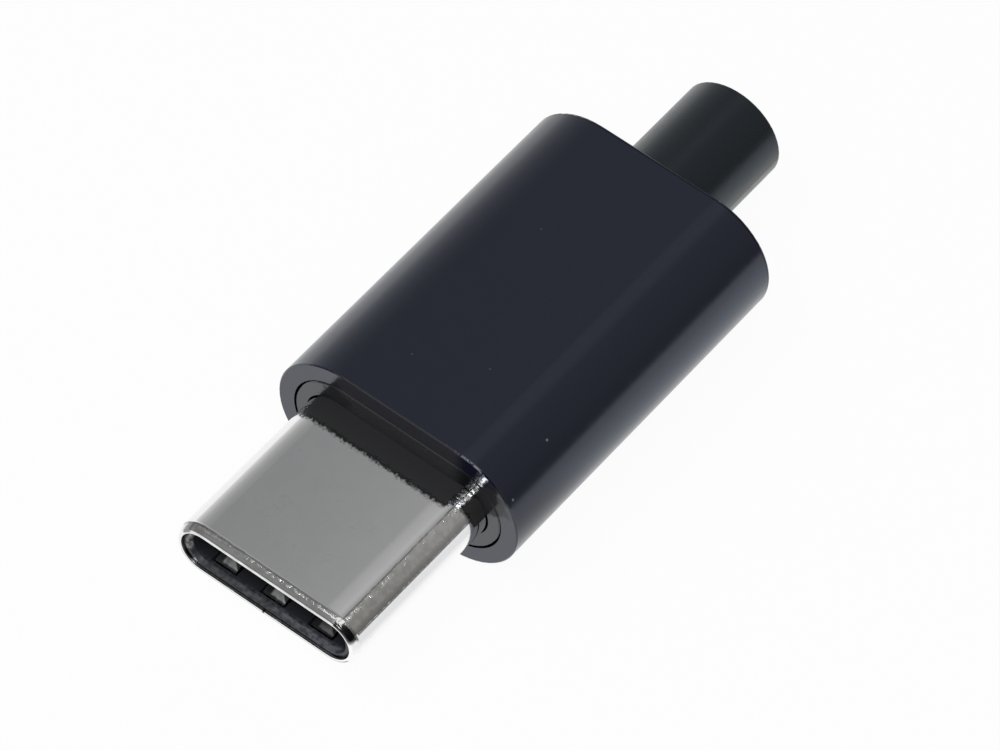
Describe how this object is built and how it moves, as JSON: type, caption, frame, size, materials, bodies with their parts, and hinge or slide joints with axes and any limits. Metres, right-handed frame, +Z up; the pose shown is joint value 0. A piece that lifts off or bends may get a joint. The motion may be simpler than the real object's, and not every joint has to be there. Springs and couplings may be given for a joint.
{
  "type": "usb-c plug",
  "caption": "Solder-on oblong data and power plug: polished metal nose, black push-on housing with front insert, small board inside, and a plain round cable sleeve.",
  "frame": {"origin": "on the surface that the housing rests on, under the middle of the plug's whole length and width", "axes": "+Y from the mouth of the nose to the cable end, +X across the plug, +Z up, square to the flat sides"},
  "size_m": [0.011, 0.0288, 0.0057],
  "materials": {
    "housing_black": "satin gloss moulded plastic, blue-black",
    "insert_black": "gloss moulded plastic, black",
    "sleeve_black": "matte soft plastic, black",
    "nose_steel": "polished nickel-plated steel",
    "insulator_black": "moulded, dull",
    "carrier_black": "moulded, dull",
    "spring_steel": "bright stamped",
    "contact_gold": "gold plated",
    "board_green": "solder mask",
    "pad_gold": "gold flash on copper",
    "solder": "tinned",
    "resistor_black": "glazed ceramic"
  },
  "bodies": {
    "plug_core": {"chip_resistor": "resistor_black", "circuit_board": "board_green", "contact_pads": "pad_gold", "contact_solder": "solder", "front_insert": "insert_black", "insulator": "insulator_black", "latch_plate": "spring_steel", "lower_contact_1": "contact_gold", "lower_contact_10": "contact_gold", "lower_contact_11": "contact_gold", "lower_contact_12": "contact_gold", "lower_contact_2": "contact_gold", "lower_contact_3": "contact_gold", "lower_contact_4": "contact_gold", "lower_contact_5": "contact_gold", "lower_contact_8": "contact_gold", "lower_contact_9": "contact_gold", "lower_contact_carrier": "carrier_black", "lower_grounding_spring": "spring_steel", "nose_shell": "nose_steel", "resistor_end_caps": "solder", "upper_contact_1": "contact_gold", "upper_contact_10": "contact_gold", "upper_contact_11": "contact_gold", "upper_contact_12": "contact_gold", "upper_contact_2": "contact_gold", "upper_contact_3": "contact_gold", "upper_contact_4": "contact_gold", "upper_contact_5": "contact_gold", "upper_contact_6": "contact_gold", "upper_contact_7": "contact_gold", "upper_contact_8": "contact_gold", "upper_contact_9": "contact_gold", "upper_contact_carrier": "carrier_black", "upper_grounding_spring": "spring_steel", "wire_pads": "pad_gold"},
    "cover": {"rear_housing": "housing_black", "strain_relief": "sleeve_black"}
  },
  "joints": [
    {"name": "cover_slide", "type": "slide", "parent": "plug_core", "child": "cover", "axis": [0, 1, 0], "range_m": [0, 0.016]}
  ]
}
